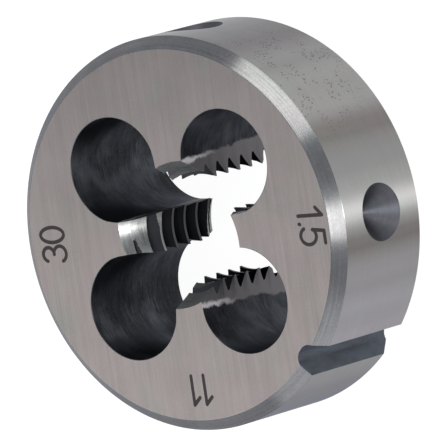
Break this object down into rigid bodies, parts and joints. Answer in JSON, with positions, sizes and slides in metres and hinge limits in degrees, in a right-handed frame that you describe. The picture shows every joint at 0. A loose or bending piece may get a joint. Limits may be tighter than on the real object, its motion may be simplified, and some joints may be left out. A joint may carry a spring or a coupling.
{
  "type": "threading die",
  "caption": "Round threading die: a ground steel disc whose threaded lands, parted by chip holes, cut an outside thread; its rim has cone seats and a notch for the holder's screws.",
  "frame": {"origin": "middle of the back face", "axes": "+Z along the thread axis, out of the front face; +X through the middle of one cutting land; the notch is 43.3 degrees clockwise from +X seen from the front"},
  "size_m": [0.03, 0.03, 0.011],
  "materials": {
    "die_steel": "finely ground satin faces and rim, dark chip holes and thread"
  },
  "bodies": {
    "root": {"die_body": "die_steel"}
  },
  "joints": []
}
